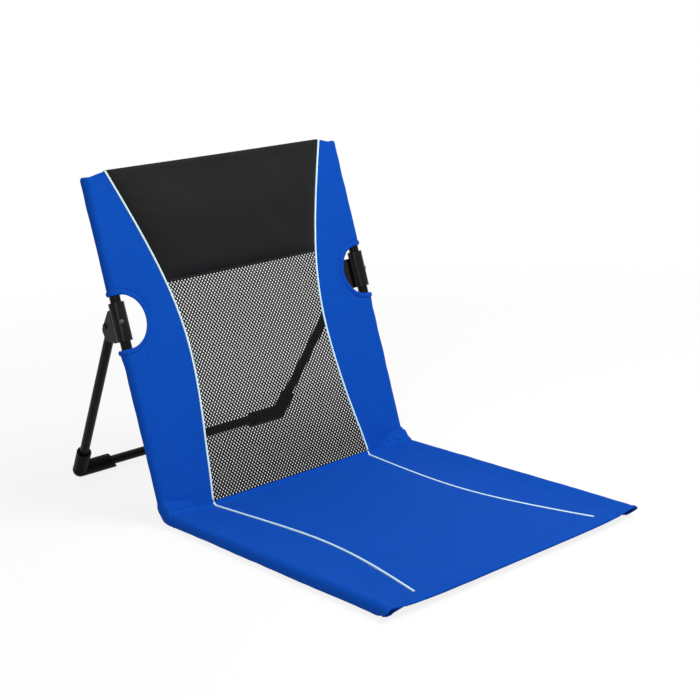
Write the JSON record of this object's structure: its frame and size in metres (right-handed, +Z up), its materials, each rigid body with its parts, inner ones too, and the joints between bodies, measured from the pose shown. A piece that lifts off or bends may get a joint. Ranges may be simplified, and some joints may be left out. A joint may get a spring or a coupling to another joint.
{
  "type": "folding beach lounger",
  "caption": "Legless folding beach chair: a fabric sling with a mesh back on a hinged tube frame, held at a recline by a swing-out tube stand behind it.",
  "frame": {"origin": "on the ground, at the middle of the footprint of the chair set up for use", "axes": "+Z up, -Y is the way the sitter faces, +X is the right-hand side as seen from in front; left and right in the names are as seen from in front"},
  "size_m": [0.3936, 0.636, 0.4075],
  "materials": {
    "sling_fabric": "plain-woven blue polyester",
    "head_fabric": "smooth black coated fabric",
    "net": "open black net",
    "piping_cord": "pale piping",
    "painted_tube": "black powder coat",
    "moulding": "black moulded plastic",
    "fastener": "plated steel"
  },
  "bodies": {
    "seat": {"seat_tube_left": "painted_tube", "seat_tube_right": "painted_tube", "seat_front_plug_left": "moulding", "seat_front_plug_right": "moulding", "hinge_fork_left": "moulding", "hinge_fork_right": "moulding", "hinge_pin_left": "fastener", "hinge_pin_right": "fastener", "seat_panel": "sling_fabric", "seat_side_panel_left": "sling_fabric", "seat_side_panel_right": "sling_fabric", "seat_piping_left": "piping_cord", "seat_piping_right": "piping_cord"},
    "back": {"back_tube_left": "painted_tube", "back_tube_right": "painted_tube", "back_top_plug_left": "moulding", "back_top_plug_right": "moulding", "hinge_tongue_left": "moulding", "hinge_tongue_right": "moulding", "back_side_panel_left": "sling_fabric", "back_side_panel_right": "sling_fabric", "head_panel": "head_fabric", "mesh_panel": "net", "back_piping_left": "piping_cord", "back_piping_right": "piping_cord", "stand_bracket_left": "moulding", "stand_bracket_right": "moulding", "bracket_screw_left": "fastener", "bracket_screw_right": "fastener", "pivot_rivet_left": "painted_tube", "pivot_rivet_right": "painted_tube"},
    "stand": {"stand_leg_left": "painted_tube", "stand_leg_right": "painted_tube", "stand_elbow_left": "moulding", "stand_elbow_right": "moulding", "stand_crossbar": "painted_tube"}
  },
  "joints": [
    {"name": "back_fold", "type": "hinge", "parent": "seat", "child": "back", "pos_m": [0, 0.07, 0.0172], "axis": [1, 0, 0], "range_deg": [0, 106]},
    {"name": "stand_fold", "type": "hinge", "parent": "back", "child": "stand", "pos_m": [0, 0.16512, 0.22919], "axis": [-1, 0, 0], "range_deg": [0, 49]}
  ]
}
